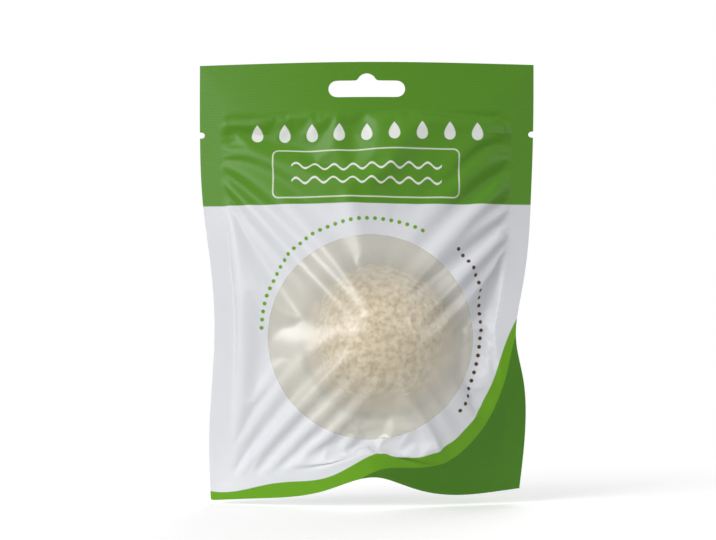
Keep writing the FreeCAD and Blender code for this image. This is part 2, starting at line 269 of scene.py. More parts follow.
for name, edge in (("left", LEFT_EDGE), ("right", RIGHT_EDGE),
                   ("top", TOP_EDGE), ("base", BASE_EDGE)):
    at = np.linspace(edge["flat"][0], edge["flat"][-1], 300)
    bent = np.linalg.norm(np.diff(edge_place(edge, at), axis=0), axis=1).sum()
    print(name, "edge: flat", round(at[-1] - at[0], 1), "mm, bent", round(bent, 1), "mm")

# %% [markdown]
# The sponge is a half ball of konjac fibre: a dome in front, a flat back and a soft round rim. It is
# made before the film, because the film is drawn over it. A sphere is cut flat at the back and the
# cut's rim is bevelled. This plain shape is all that the film needs; the crumb comes later.

# %% Sponge: the plain half ball
sponge_low, sponge_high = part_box("sponge")
SPONGE_RADIUS = (sponge_high[0] - sponge_low[0]) / 2
SPONGE_X = (sponge_high[0] + sponge_low[0]) / 2
SPONGE_Z = (sponge_high[2] + sponge_low[2]) / 2
SPONGE_BACK, SPONGE_PEAK = sponge_high[1], sponge_low[1]
SPONGE_RIM = 5 * MM


def only(obj):
    """Selects one object alone and makes it the active one."""
    bpy.ops.object.select_all(action="DESELECT")
    obj.select_set(True)
    bpy.context.view_layer.objects.active = obj
    return obj


def apply_all(obj):
    only(obj)
    for modifier in list(obj.modifiers):
        bpy.ops.object.modifier_apply(modifier=modifier.name)


def place_in_mesh(obj):
    """Puts an object's place, turn and scale into its mesh."""
    only(obj)
    bpy.ops.object.transform_apply(location=True, rotation=True, scale=True)


dome_height = SPONGE_BACK - SPONGE_RIM - SPONGE_PEAK
dome = (SPONGE_RADIUS ** 2 + dome_height ** 2) / (2 * dome_height)
bpy.ops.mesh.primitive_uv_sphere_add(
    segments=96, ring_count=64, radius=dome,
    location=(SPONGE_X, SPONGE_PEAK + dome, SPONGE_Z), rotation=(math.pi / 2, 0, 0))
sponge = bpy.context.object
sponge.name = sponge.data.name = "sponge_body"
place_in_mesh(sponge)
bpy.ops.object.mode_set(mode="EDIT")
bpy.ops.mesh.select_all(action="SELECT")
bpy.ops.mesh.bisect(plane_co=(0, SPONGE_BACK, 0), plane_no=(0, 1, 0),
                    clear_outer=True, use_fill=True)
bpy.ops.mesh.bevel(offset=SPONGE_RIM, segments=6, affect="EDGES")
bpy.ops.mesh.select_all(action="SELECT")
bpy.ops.mesh.remove_doubles(threshold=1e-6)
bpy.ops.mesh.normals_make_consistent(inside=False)
bpy.ops.object.mode_set(mode="OBJECT")
peak = min(sponge.data.vertices, key=lambda point: point.co.y)
if peak.normal.y > 0:
    bpy.ops.object.mode_set(mode="EDIT")
    bpy.ops.mesh.flip_normals()
    bpy.ops.object.mode_set(mode="OBJECT")
print("sponge", [round(d / MM, 1) for d in sponge.dimensions], "mm,",
      len(sponge.data.vertices), "points")

# %% [markdown]
# Film can bend and fold, but it can't stretch, and where it has no room it wrinkles. That is what
# makes the ridges that run from the sponge's peak to the pouch's corners, and a cloth simulation
# finds them. The web starts flat, its rim is pinned and moves to its bent place while the sponge is
# pushed in from behind, and the rest of the film follows. It is worked out ten times too large,
# because Blender's cloth is tuned for things the size of clothes.

# %% Film simulation: the sponge as a former
SIM = 0.01
BEND_FRAMES, LAST_FRAME = 24, 40
FRONT, BACK = -1, 1
PUSH_START = {FRONT: 0.34, BACK: -0.12}
SKIN, SKIN_DEPTH = 0.002, 0.05


def pushed_former(side):
    """A copy of the sponge that is pushed into a web."""
    former = sponge.copy()
    former.data = sponge.data.copy()
    scene.collection.objects.link(former)
    former.scale = (SIM / MM,) * 3
    former.modifiers.new("Collision", "COLLISION")
    former.collision.thickness_outer = SKIN
    former.collision.thickness_inner = SKIN_DEPTH
    former.location.y = PUSH_START[side]
    former.keyframe_insert("location", frame=1)
    former.location.y = 0
    former.keyframe_insert("location", frame=BEND_FRAMES)
    return former


print("the sponge is in place after frame", BEND_FRAMES, "of", LAST_FRAME)

# %% [markdown]
# A web has two shape keys, the flat cut and the bent rim, and goes from one to the other in the same
# frames. Cloth reads its pins and its slack from vertex groups: the welds are pinned, and the slack
# fades in over the first four millimetres, so that the film leaves the welds without a pucker.

# %% Film simulation: the web and its stiffness
PLY_GAP = 0.1
PIN_FADE, FIRM_FADE = 0.5, 4


def vertex_weights(obj, name, weights):
    group = obj.vertex_groups.new(name=name)
    for level in np.unique(weights.round(2)):
        if level > 0:
            chosen = np.nonzero(weights.round(2) == level)[0]
            group.add(chosen.tolist(), float(level), "REPLACE")
    return name


def bending_web(flat, faces, side):
    """A flat web whose shape keys carry its rim to its bent place."""
    mesh = bpy.data.meshes.new("web")
    start = np.stack([flat[:, 0], np.full(len(flat), WEB_DEPTH + side * PLY_GAP), flat[:, 1]], 1)
    mesh.from_pydata((start * SIM).tolist(), [], faces.tolist())
    web = bpy.data.objects.new("web", mesh)
    scene.collection.objects.link(web)
    web.shape_key_add(name="flat")
    bent = web.shape_key_add(name="bent")
    rim = rim_place(flat) + np.array((0, side * PLY_GAP, 0))
    bent.data.foreach_set("co", (rim * SIM).ravel())
    bent.value = 0
    bent.keyframe_insert("value", frame=1)
    bent.value = 1
    bent.keyframe_insert("value", frame=BEND_FRAMES)
    return web


def make_film(web, flat, ease, bend):
    """Makes a web a thin film: pinned in its welds, hard to stretch and easy to bend."""
    (left, foot), (right, _), (_, head), _ = weld_outline()
    depth = np.minimum.reduce(
        [flat[:, 0] - left, right - flat[:, 0], flat[:, 1] - foot, head - flat[:, 1]])
    cloth = web.modifiers.new("Cloth", "CLOTH")
    values = cloth.settings
    values.vertex_group_mass = vertex_weights(web, "weld", np.clip(1 - depth / PIN_FADE, 0, 1))
    values.vertex_group_shrink = vertex_weights(web, "firm", np.clip(1 - depth / FIRM_FADE, 0, 1))
    values.shrink_min, values.shrink_max = -ease, 0.0
    values.quality = 8
    values.mass = 0.05
    values.tension_stiffness = values.compression_stiffness = 60
    values.shear_stiffness = 30
    values.tension_damping = values.compression_damping = values.shear_damping = 10
    values.bending_model = "ANGULAR"
    values.bending_stiffness = bend
    values.bending_damping = 0.5
    values.air_damping = 1
    values.effector_weights.gravity = 0
    cloth.collision_settings.collision_quality = 3
    cloth.collision_settings.distance_min = SKIN
    cloth.collision_settings.use_self_collision = False
    scene.frame_end = cloth.point_cache.frame_end = LAST_FRAME


print("plies", 2 * PLY_GAP, "mm apart in the welds")

# %% [markdown]
# The frames are then stepped through one after another, and the last one is read. The front web gets
# two parts in a hundred of slack, as the film of a filled pouch has been pulled over its contents. The
# back web lies nearly flat behind the sponge and needs none.

# %% Film simulation: settle both webs
def settle(flat, faces, side, ease, bend):
    """Draws a flat web over the sponge in its bent rim and returns its points in millimetres."""
    former = pushed_former(side)
    web = bending_web(flat, faces, side)
    make_film(web, flat, ease, bend)
    for step in range(1, LAST_FRAME + 1):
        scene.frame_set(step)
    settled = web.evaluated_get(bpy.context.evaluated_depsgraph_get()).data
    points = np.zeros(len(flat) * 3)
    settled.vertices.foreach_get("co", points)
    for spare in (web, former):
        bpy.data.objects.remove(spare)
    scene.frame_set(1)
    return points.reshape(-1, 3) / SIM


front_points = settle(front_flat, front_faces, FRONT, ease=0.02, bend=5)
back_points = settle(back_flat, back_faces, BACK, ease=0.0, bend=5)
for name, points in (("front", front_points), ("back", back_points)):
    low, high = points[:, 1].min(), points[:, 1].max()
    print(name, "web from y", round(low, 1), "to", round(high, 1), "mm")

# %% [markdown]
# The window is a round area of the front web that is left without ink. Seen from the front it is a
# true circle, whatever the folds do. So each mesh edge that crosses this circle has its nearer end
# moved along the edge to the crossing, and then every triangle lies wholly inside or outside.

# %% Window line
def off_window(points):
    """How far each point lies outside the window's circle as the camera sees it, in millimetres."""
    nearer = EYE_DISTANCE / (EYE_DISTANCE + points[:, 1])
    across = eye_x + (points[:, 0] - eye_x) * nearer - WINDOW_X
    up = eye_z + (points[:, 2] - eye_z) * nearer - WINDOW_Z
    return np.hypot(across, up) - WINDOW_RADIUS


def snap_to_window(flat, points, faces):
    """Moves the nearer end of each edge that crosses the circle onto it, those farthest away first."""
    flat, points = flat.copy(), points.copy()
    off = off_window(points)
    sides = faces[:, [[0, 1], [1, 2], [2, 0]]].reshape(-1, 2)
    ends = np.unique(np.sort(sides, axis=1), axis=0)
    a, b = ends[off[ends[:, 0]] * off[ends[:, 1]] < 0].T
    share = off[a] / (off[a] - off[b])
    mover, other = np.where(share < 0.5, a, b), np.where(share < 0.5, b, a)
    share = np.minimum(share, 1 - share)
    old_flat, old_points = flat.copy(), points.copy()
    for i in np.argsort(-share):
        for values, old in ((flat, old_flat), (points, old_points)):
            values[mover[i]] = old[mover[i]] + (old[other[i]] - old[mover[i]]) * share[i]
    print("window line:", len(np.unique(mover)), "points moved onto it")
    return flat, points


front_flat, front_points = snap_to_window(front_flat, front_points, front_faces)

# %% [markdown]
# The two webs are settled one by one, so below the sponge, where they lie close, a fold of one could
# come through the other. Real webs just press on each other there. Each point of the back web that
# lies too far forward is moved straight back, and then each point of the front web straight forward.

# %% Webs kept apart
WEB_GAP = 0.35
WELD_MARGIN = 1
FAR_SIDE = 100.0


def in_room(flat):
    """Which points of a web lie inside the welds, where the sponge is."""
    return ((np.abs(flat[:, 0]) < HALF_WIDTH - SIDE_WELD - WELD_MARGIN)
            & (flat[:, 1] > BASE + BASE_WELD + WELD_MARGIN)
            & (flat[:, 1] < TOP - TOP_WELD - WELD_MARGIN))


def press_apart(points, free, other, other_faces, side):
    """Moves the free points along Y until they lie on their own side of the other web."""
    web = BVHTree.FromPolygons(other.tolist(), other_faces.tolist())
    moved = 0
    for i in np.nonzero(free)[0]:
        x, y, z = points[i]
        met = web.ray_cast(Vector((x, side * FAR_SIDE, z)), Vector((0, -side, 0)))[0]
        if met is not None and side * (y - met.y) < WEB_GAP:
            points[i, 1] = met.y + side * WEB_GAP
            moved += 1
    return moved


sent_back = press_apart(back_points, in_room(back_flat), front_points, front_faces, BACK)
sent_forward = press_apart(front_points, in_room(front_flat), back_points, back_faces, FRONT)
print(sent_back, "points of the back web moved back,", sent_forward, "of the front web forward")

# %% [markdown]
# Each settled web is cut into its pieces: the header ply above the tear line, the printed panel and
# the round window. A piece keeps its flat millimetres as a UV map, gets one level of subdivision for
# smooth folds, and Solidify gives it the film's real thickness.

# %% Film pieces
FILM = 0.15
SMOOTH_ANGLE = math.radians(60)


def film_piece(name, flat, points, faces, keep, side):
    """One piece of a web as a closed sheet, with its printed side outwards."""
    chosen = faces[keep] if side == FRONT else faces[keep][:, ::-1]
    used, renumbered = np.unique(chosen, return_inverse=True)
    mesh = bpy.data.meshes.new(name)
    mesh.from_pydata((points[used] * MM).tolist(), [], renumbered.reshape(-1, 3).tolist())
    corner_points = np.zeros(len(mesh.loops), int)
    mesh.loops.foreach_get("vertex_index", corner_points)
    uv = (flat[used][corner_points] + np.array((HALF_WIDTH, -BASE))) / UV_SPAN
    mesh.uv_layers.new(name="flat").data.foreach_set("uv", uv.ravel())
    piece = bpy.data.objects.new(name, mesh)
    scene.collection.objects.link(piece)
    finer = piece.modifiers.new("Finer", "SUBSURF")
    finer.levels = finer.render_levels = 1
    finer.boundary_smooth = "PRESERVE_CORNERS"
    wall = piece.modifiers.new("Wall", "SOLIDIFY")
    wall.thickness = FILM * MM
    wall.offset = 0
    wall.material_offset = wall.material_offset_rim = 1
    apply_all(piece)
    bpy.ops.object.shade_smooth_by_angle(angle=SMOOTH_ANGLE)
    print(name, len(piece.data.polygons), "faces,",
          [round(d / MM, 1) for d in piece.dimensions], "mm")
    return piece


front_middle = front_flat[front_faces].mean(1)
back_middle = back_flat[back_faces].mean(1)
in_header = front_middle[:, 1] > TEAR
in_window = off_window(front_points)[front_faces].mean(1) < 0
in_back_header = back_middle[:, 1] > TEAR
front_web = (front_flat, front_points, front_faces)
back_web = (back_flat, back_points, back_faces)
header_front = film_piece("header_front_film", *front_web, in_header, FRONT)
window = film_piece("window_film", *front_web, in_window, FRONT)
panel = film_piece("front_film", *front_web, ~(in_header | in_window), FRONT)
header_back = film_piece("header_back_film", *back_web, in_back_header, BACK)
back = film_piece("back_film", *back_web, ~in_back_header, BACK)

# %% [markdown]
# The bevelled rim was good enough to draw film over, but a wide bevel on small faces folds over
# itself, and the rim shows when the sponge is out. So the back is cut off and drawn out again ring by
# ring: each ring is extruded backwards and scaled, along a quarter round, and the last one is filled.

# %% Sponge: the soft rim
SPONGE_CUT = SPONGE_BACK - 1.3 * SPONGE_RIM
SPONGE_SLACK = 0.3 * MM
RIM_TURNS = np.radians((15, 30, 45, 60, 75, 90))
cut_radius = math.sqrt(dome ** 2 - (SPONGE_CUT - SPONGE_PEAK - dome) ** 2)
rim_depth = SPONGE_BACK - SPONGE_SLACK - SPONGE_CUT
only(sponge)
bpy.ops.object.mode_set(mode="EDIT")
bpy.ops.mesh.select_all(action="SELECT")
bpy.ops.mesh.bisect(plane_co=(0, SPONGE_CUT, 0), plane_no=(0, 1, 0), clear_outer=True)
reach, radius = SPONGE_CUT, cut_radius
for turn in RIM_TURNS:
    next_reach = SPONGE_CUT + rim_depth * math.sin(turn)
    next_radius = cut_radius - rim_depth * (1 - math.cos(turn))
    bpy.ops.mesh.extrude_region_move(TRANSFORM_OT_translate={"value": (0, next_reach - reach, 0)})
    share = next_radius / radius
    bpy.ops.transform.resize(value=(share, 1, share),
                             center_override=(SPONGE_X, next_reach, SPONGE_Z))
    reach, radius = next_reach, next_radius
bpy.ops.mesh.edge_face_add()
bpy.ops.mesh.select_all(action="SELECT")
bpy.ops.mesh.normals_make_consistent(inside=False)
bpy.ops.object.mode_set(mode="OBJECT")
print("sponge's flat back:", round(radius / MM, 1), "mm in radius at y", round(reach / MM, 1), "mm")

# %% [markdown]
# The crumb of the sponge is a fine, uneven grain of fibre and small pores. A voxel remesh first makes
# all faces small and alike. Then three Displace modifiers with clouds of three sizes push the surface
# inwards only, so that the sponge stays inside its film and the highest grains just touch it.

# %% Sponge: the crumb
CRUMB = ((16.0, 1.4), (3.6, 0.8), (1.3, 0.55))
VOXEL = 0.45
voxels = sponge.modifiers.new("Even", "REMESH")
voxels.mode = "VOXEL"
voxels.voxel_size = VOXEL * MM
for size, depth in CRUMB:
    cloud = bpy.data.textures.new("crumb", "CLOUDS")
    cloud.noise_scale = size * MM
    cloud.noise_depth = 2
    press = sponge.modifiers.new("Crumb", "DISPLACE")
    press.texture = cloud
    press.texture_coords = "LOCAL"
    press.strength = depth * MM
    press.mid_level = 1.0
apply_all(sponge)
bpy.ops.object.shade_smooth()
print("sponge", len(sponge.data.polygons), "faces")

# %% [markdown]
# The print is drawn by nodes, in the flat millimetres of the UV map, so it needs no picture. Small
# helpers keep that readable: one adds a Math node, one gives the flat place, and one turns a distance
# from a shape's edge into a mask that is soft over a quarter of a millimetre, as printed ink is.

# %% Helpers for the print
INK_EDGE = 0.25


def math_node(tree, operation, *given, clamp=False):
    """Adds a Math node; each thing given is a number or another node's output."""
    node = tree.nodes.new("ShaderNodeMath")
    node.operation = operation
    node.use_clamp = clamp
    for socket, value in zip(node.inputs, given):
        if isinstance(value, (int, float)):
            socket.default_value = value
        else:
            tree.links.new(value, socket)
    return node.outputs[0]


def flat_place(tree):
    """The place on the flat web in millimetres, across and up."""
    uv = tree.nodes.new("ShaderNodeUVMap")
    uv.uv_map = "flat"
    split = tree.nodes.new("ShaderNodeSeparateXYZ")
    tree.links.new(uv.outputs["UV"], split.inputs[0])
    return (math_node(tree, "MULTIPLY_ADD", split.outputs["X"], UV_SPAN, -HALF_WIDTH),
            math_node(tree, "MULTIPLY_ADD", split.outputs["Y"], UV_SPAN, BASE))


def inked(tree, distance):
    """A mask that is 1 where a distance is below zero."""
    return math_node(tree, "MULTIPLY_ADD", distance, -1 / INK_EDGE, 0.5, clamp=True)


def both(tree, a, b):
    return math_node(tree, "MULTIPLY", a, b)


def length_of(tree, a, b):
    squares = math_node(tree, "MULTIPLY_ADD", a, a, math_node(tree, "MULTIPLY", b, b))
    return math_node(tree, "SQRT", squares)


def painted(tree, under, mask, colour):
    """Puts one ink over what is printed so far."""
    mix = tree.nodes.new("ShaderNodeMix")
    mix.data_type = "RGBA"
    tree.links.new(mask, mix.inputs["Factor"])
    tree.links.new(under, mix.inputs["A"])
    mix.inputs["B"].default_value = (*colour, 1)
    return mix.outputs["Result"]


def noise(tree, scale, detail, coordinates="Object"):
    place = tree.nodes.new("ShaderNodeTexCoord")
    grain = tree.nodes.new("ShaderNodeTexNoise")
    grain.inputs["Scale"].default_value = scale
    grain.inputs["Detail"].default_value = detail
    tree.links.new(place.outputs[coordinates], grain.inputs["Vector"])
    return grain.outputs["Fac"]


def colour_ramp(tree, fac, stops):
    ramp = tree.nodes.new("ShaderNodeValToRGB")
    while len(ramp.color_ramp.elements) < len(stops):
        ramp.color_ramp.elements.new(0.5)
    for element, (place, colour) in zip(ramp.color_ramp.elements, stops):
        element.position = place
        element.color = (*colour, 1)
    tree.links.new(fac, ramp.inputs["Fac"])
    return ramp.outputs["Color"]


def new_material(name):
    material = bpy.data.materials.new(name)
    material.use_nodes = True
    return material, material.node_tree, material.node_tree.nodes["Principled BSDF"]


print("print helpers ready")

# %% [markdown]
# The printed shapes are all common ones: a plain frame line, drops, waves and dots. Each is a small
# sum of distances. The frame line is the set of places at one distance from a smaller rectangle, and
# a row repeats because the place across is wrapped round at each spacing.

# %% Printed shapes
DROP_FULLNESS, DROP_TRIM = 1.3, 0.12
CLIMB_LENGTH, CLIMB_END, CLIMB_HEIGHT = 24, 56, 44.0


def frame_line(tree, u, v, middle, half, corner, width):
    reach = []
    for place, centre, side in zip((u, v), middle, half):
        off = math_node(tree, "ABSOLUTE", math_node(tree, "SUBTRACT", place, centre))
        past = math_node(tree, "SUBTRACT", off, side - corner)
        reach.append(math_node(tree, "MAXIMUM", past, 0.0))
    off_arc = math_node(tree, "SUBTRACT", length_of(tree, *reach), corner)
    off_line = math_node(tree, "ABSOLUTE", off_arc)
    return inked(tree, math_node(tree, "SUBTRACT", off_line, width / 2))


def row_ends(tree, u, middle, half):
    off = math_node(tree, "ABSOLUTE", math_node(tree, "SUBTRACT", u, middle))
    return inked(tree, math_node(tree, "SUBTRACT", off, half))


def drop_row(tree, u, v, foot, height, width, spacing, count):
    """Drops side by side: round at the foot, with a point at the top."""
    across = math_node(tree, "ABSOLUTE", math_node(tree, "WRAP", u, spacing / 2, -spacing / 2))
    share = math_node(tree, "DIVIDE", math_node(tree, "SUBTRACT", v, foot), height, clamp=True)
    swell = both(tree, math_node(tree, "SQRT", share), math_node(tree, "SUBTRACT", 1.0, share))
    shape = inked(tree, math_node(tree, "SUBTRACT", across, math_node(
        tree, "MULTIPLY_ADD", swell, DROP_FULLNESS * width, -DROP_TRIM)))
    return both(tree, shape, row_ends(tree, u, 0.0, spacing * count / 2))


def wave_line(tree, u, v, height, swing, period, half, width):
    swell = math_node(tree, "SINE", math_node(tree, "MULTIPLY", u, 2 * math.pi / period))
    off = math_node(tree, "SUBTRACT", v, math_node(tree, "MULTIPLY_ADD", swell, swing, height))
    line = inked(tree, math_node(tree, "SUBTRACT", math_node(tree, "ABSOLUTE", off), width / 2))
    return both(tree, line, row_ends(tree, u, 0.0, half))


def dot_arc(tree, u, v, radius, start, end, step, size):
    """Dots on an arc round the window, from one angle to another, in degrees."""
    across = math_node(tree, "SUBTRACT", u, WINDOW_X)
    up = math_node(tree, "SUBTRACT", v, WINDOW_Z)
    angle = math_node(tree, "DEGREES", math_node(tree, "ARCTAN2", up, across))
    along = math_node(tree, "MULTIPLY", math_node(tree, "WRAP", angle, step / 2, -step / 2),
                      radius * math.pi / 180)
    outward = math_node(tree, "SUBTRACT", length_of(tree, across, up), radius)
    dots = inked(tree, math_node(tree, "SUBTRACT", length_of(tree, along, outward), size))
    return both(tree, dots, row_ends(tree, angle, (start + end) / 2, (end - start) / 2))


def rising_wave(tree, u, v, foot, swing, period):
    """All below a wave that climbs steeply to the right."""
    climb = math_node(tree, "EXPONENT", math_node(
        tree, "MULTIPLY_ADD", u, 1 / CLIMB_LENGTH, -CLIMB_END / CLIMB_LENGTH))
    ripple = math_node(tree, "SINE", math_node(tree, "MULTIPLY", u, 2 * math.pi / period))
    crest = math_node(tree, "MULTIPLY_ADD", climb, CLIMB_HEIGHT, math_node(
        tree, "MULTIPLY_ADD", ripple, swing, foot))
    return inked(tree, math_node(tree, "SUBTRACT", v, crest))


print("printed shapes ready")

# %% [markdown]
# The outer film is satin: ink under a thin glossy layer, with fine ribs pressed into the welds by the
# sealing jaws. The ribs and a faint crinkle go into a Bump node, since they are finer than the mesh.
# The front and the back have different print and the same film.

# %% Material: printed film
GREEN, LEAF, DEEP = (0.103, 0.295, 0.016), (0.155, 0.40, 0.012), (0.07, 0.225, 0.012)
BROWN, PAPER, PALE = (0.085, 0.036, 0.012), (0.80, 0.81, 0.84), (0.72, 0.80, 0.62)
DROP_WHITE, WAVE_WHITE = (0.86, 0.88, 0.84), (0.84, 0.87, 0.8)
PAPER_SHADE = 0.97
GREEN_FOOT = -47.3
RIB_PERIOD, RIB_HEIGHT = 1.1, 0.25
LIGHT_THROUGH = 0.2


def film_relief(tree, shader, u, v):
    """Ribs in the welds, and a faint crinkle all over."""
    past_side = math_node(tree, "SUBTRACT", math_node(tree, "ABSOLUTE", u), HALF_WIDTH - SIDE_WELD)
    past_top = math_node(tree, "SUBTRACT", v, TOP - TOP_WELD)
    past_base = math_node(tree, "SUBTRACT", BASE + BASE_WELD, v)
    weld = math_node(tree, "MAXIMUM", past_side, math_node(tree, "MAXIMUM", past_top, past_base))
    in_weld = math_node(tree, "MULTIPLY_ADD", weld, 2.0, 0.5, clamp=True)
    ribs = math_node(tree, "SINE", math_node(tree, "MULTIPLY", v, 2 * math.pi / RIB_PERIOD))
    height = math_node(tree, "MULTIPLY_ADD", both(tree, ribs, in_weld), RIB_HEIGHT, noise(tree, 160, 2))
    bump = tree.nodes.new("ShaderNodeBump")
    bump.inputs["Strength"].default_value = 0.25
    bump.inputs["Distance"].default_value = 0.12 * MM
    tree.links.new(height, bump.inputs["Height"])
    tree.links.new(bump.outputs["Normal"], shader.inputs["Normal"])


def let_light_through(tree, shader, colour):
    """Thin film glows a little when it is lit from behind, and lights the inside of the pouch."""
    through = tree.nodes.new("ShaderNodeBsdfTranslucent")
    tree.links.new(colour, through.inputs["Color"])
    mix = tree.nodes.new("ShaderNodeMixShader")
    mix.inputs["Fac"].default_value = LIGHT_THROUGH
    tree.links.new(shader.outputs[0], mix.inputs[1])
    tree.links.new(through.outputs[0], mix.inputs[2])
    tree.links.new(mix.outputs[0], tree.nodes["Material Output"].inputs["Surface"])


def printed_film(name, draw):
    material, tree, shader = new_material(name)
    u, v = flat_place(tree)
    shade = tuple(c * PAPER_SHADE for c in PAPER)
    paper = colour_ramp(tree, noise(tree, 35, 3), ((0.3, shade), (0.7, PAPER)))
    header = inked(tree, math_node(tree, "SUBTRACT", GREEN_FOOT, v))
    colour = painted(tree, paper, header, GREEN)
    colour = draw(tree, u, v, colour)
    tree.links.new(colour, shader.inputs["Base Color"])
    shader.inputs["Roughness"].default_value = 0.36
    shader.inputs["IOR"].default_value = 1.34
    film_relief(tree, shader, u, v)
    let_light_through(tree, shader, colour)
    return material


print("film lets", LIGHT_THROUGH, "of the light through")

# %% [markdown]
# The front print has a row of drops and a frame with two wave lines in the green header, dots round
# the window and a wave in two greens that climbs the right side. The back print is plainer. All sizes
# are flat millimetres, and each shape is painted over the ones before it.

# %% Material: front and back print
def front_print(tree, u, v, colour):
    shapes = [
        (drop_row(tree, u, v, foot=-22.6, height=7.0, width=4.6, spacing=10.6, count=9), DROP_WHITE),
        (frame_line(tree, u, v, middle=(-0.3, -35.5), half=(35.7, 9.3), corner=2.2, width=0.55), PALE)]
    for height in (-32.6, -38.4):
        wave = wave_line(tree, u, v, height, swing=1.1, period=7.2, half=28.8, width=0.9)
        shapes.append((wave, WAVE_WHITE))
    shapes += [
        (rising_wave(tree, u, v, foot=-157.3, swing=1.2, period=46), LEAF),
        (rising_wave(tree, u, v, foot=-164.6, swing=2.0, period=60), DEEP),
        (dot_arc(tree, u, v, radius=44.5, start=62, end=178, step=4.0, size=0.75), LEAF),
        (dot_arc(tree, u, v, radius=47.0, start=-42, end=46, step=4.0, size=0.75), BROWN)]
    for shape, ink in shapes:
        colour = painted(tree, colour, shape, ink)
    return colour


def back_print(tree, u, v, colour):
    line = frame_line(tree, u, v, middle=(0, -98), half=(44, 40), corner=3.0, width=0.6)
    colour = painted(tree, colour, line, LEAF)
    wave = rising_wave(tree, u, v, foot=-160.0, swing=1.2, period=46)
    return painted(tree, colour, wave, LEAF)


front_finish = printed_film("printed_film_front", front_print)
back_finish = printed_film("printed_film_back", back_print)
print("printed films:", front_finish.name, back_finish.name)

# %% [markdown]
# The inside of the film is unprinted pale film. Its beige tint is a painted reflection of the tan
# sponge that it faces.

# %% Material: inside of the film
inside_finish, tree, shader = new_material("film_inside_painted_reflection")
# Two beige tones that vary at random: painted reflection of the sponge on the film's inside.
INNER_REFLECTED_DARK, INNER_REFLECTED_PALE = (0.85, 0.80, 0.66), (0.89, 0.85, 0.73)
inner_painted_reflection = colour_ramp(tree, noise(tree, 60, 2), ((0.3, INNER_REFLECTED_DARK), (0.7, INNER_REFLECTED_PALE)))
tree.links.new(inner_painted_reflection, shader.inputs["Base Color"])
shader.inputs["Roughness"].default_value = 0.45
let_light_through(tree, shader, inner_painted_reflection)
print("inside:", inside_finish.name)

# %% [markdown]
# The window is the same film without ink: mostly see-through, with a milky haze and a gloss on every
# fold. The haze's beige is painted light from the tan sponge behind it. The haze hides more where the
# film stands off the sponge than where it touches. The film is far too thin to bend light, so it is a
# Transparent shader and not glass. Layer Weight gives more gloss where the film is seen at a slant.

# %% Material: window
TOUCH_U, TOUCH_V = 5.0, -97.0
HAZE_START, HAZE_RUN, HAZE_LIFTED = 12, 22, 0.26
HAZE_CLOUDS, HAZE_LEAST = 0.12, 0.02
GLOSS_POWER, GLOSS_SLANT, GLOSS_LEAST = 4.0, 0.7, 0.05
window_finish, tree, shader = new_material("window_haze")
# Beige haze colour: painted light from the sponge behind the window.
shader.inputs["Base Color"].default_value = (0.92, 0.885, 0.78, 1)
shader.inputs["Roughness"].default_value = 0.3
u, v = flat_place(tree)
from_touch = length_of(tree, math_node(tree, "SUBTRACT", u, TOUCH_U),
                       math_node(tree, "SUBTRACT", v, TOUCH_V))
lifted = math_node(tree, "MULTIPLY_ADD", from_touch, 1 / HAZE_RUN, -HAZE_START / HAZE_RUN, clamp=True)
clouds = math_node(tree, "MULTIPLY_ADD", noise(tree, 45, 3), HAZE_CLOUDS, HAZE_LEAST)
haze = math_node(tree, "MULTIPLY_ADD", lifted, HAZE_LIFTED, clouds)
clear = tree.nodes.new("ShaderNodeBsdfTransparent")
clear.inputs["Color"].default_value = (0.97, 0.97, 0.96, 1)
milky = tree.nodes.new("ShaderNodeMixShader")
tree.links.new(haze, milky.inputs["Fac"])
tree.links.new(clear.outputs[0], milky.inputs[1])
tree.links.new(shader.outputs[0], milky.inputs[2])
gloss = tree.nodes.new("ShaderNodeBsdfGlossy")
gloss.inputs["Roughness"].default_value = 0.33
slant = tree.nodes.new("ShaderNodeLayerWeight")
film_shader = tree.nodes.new("ShaderNodeMixShader")
slanted = math_node(tree, "POWER", slant.outputs["Facing"], GLOSS_POWER)
shine = math_node(tree, "MULTIPLY_ADD", slanted, GLOSS_SLANT, GLOSS_LEAST)
tree.links.new(shine, film_shader.inputs["Fac"])
tree.links.new(milky.outputs[0], film_shader.inputs[1])
tree.links.new(gloss.outputs[0], film_shader.inputs[2])
tree.links.new(film_shader.outputs[0], tree.nodes["Material Output"].inputs["Surface"])
print("window:", window_finish.name)

# %% [markdown]
# Dry konjac is a pale tan with darker specks and a chalky, fibrous grain. Two noises of different size
# colour it, and a fine bump adds the grains that are smaller than the mesh's faces.

# %% Material: sponge
sponge_finish, tree, shader = new_material("sponge_crumb")
coarse = colour_ramp(tree, noise(tree, 420, 4), (
    (0.32, (0.50, 0.375, 0.21)), (0.46, (0.69, 0.555, 0.37)), (0.62, (0.84, 0.73, 0.54))))
specks = math_node(tree, "MULTIPLY_ADD", noise(tree, 1500, 2), -9.0, 3.4, clamp=True)
speckled = painted(tree, coarse, specks, (0.48, 0.355, 0.205))
tree.links.new(speckled, shader.inputs["Base Color"])
shader.inputs["Roughness"].default_value = 0.92
grain = tree.nodes.new("ShaderNodeBump")
grain.inputs["Strength"].default_value = 0.6
grain.inputs["Distance"].default_value = 0.4 * MM
tree.links.new(noise(tree, 1100, 3), grain.inputs["Height"])
tree.links.new(grain.outputs["Normal"], shader.inputs["Normal"])
print("sponge finish:", sponge_finish.name)

# %% [markdown]
# Each film piece has two material slots. Solidify put its outer wall in the first and its inner wall
# and rim in the second, so the outside is printed and the inside is plain.

# %% Put the materials on
for piece, finish in ((header_front, front_finish), (panel, front_finish),
                      (header_back, back_finish), (back, back_finish), (window, window_finish)):
    piece.data.materials.append(finish)
    piece.data.materials.append(window_finish if piece == window else inside_finish)
sponge.data.materials.append(sponge_finish)
for piece in (header_front, panel, window, header_back, back, sponge):
    print(piece.name, "has", [finish.name for finish in piece.data.materials])

# %% [markdown]
# The light is that of a small product table: a large soft lamp at the upper left, a weaker one at the
# right, one behind and an even pale surround. The background is white where it is seen, straight or
# off a gloss, and a plain pale grey as a light.

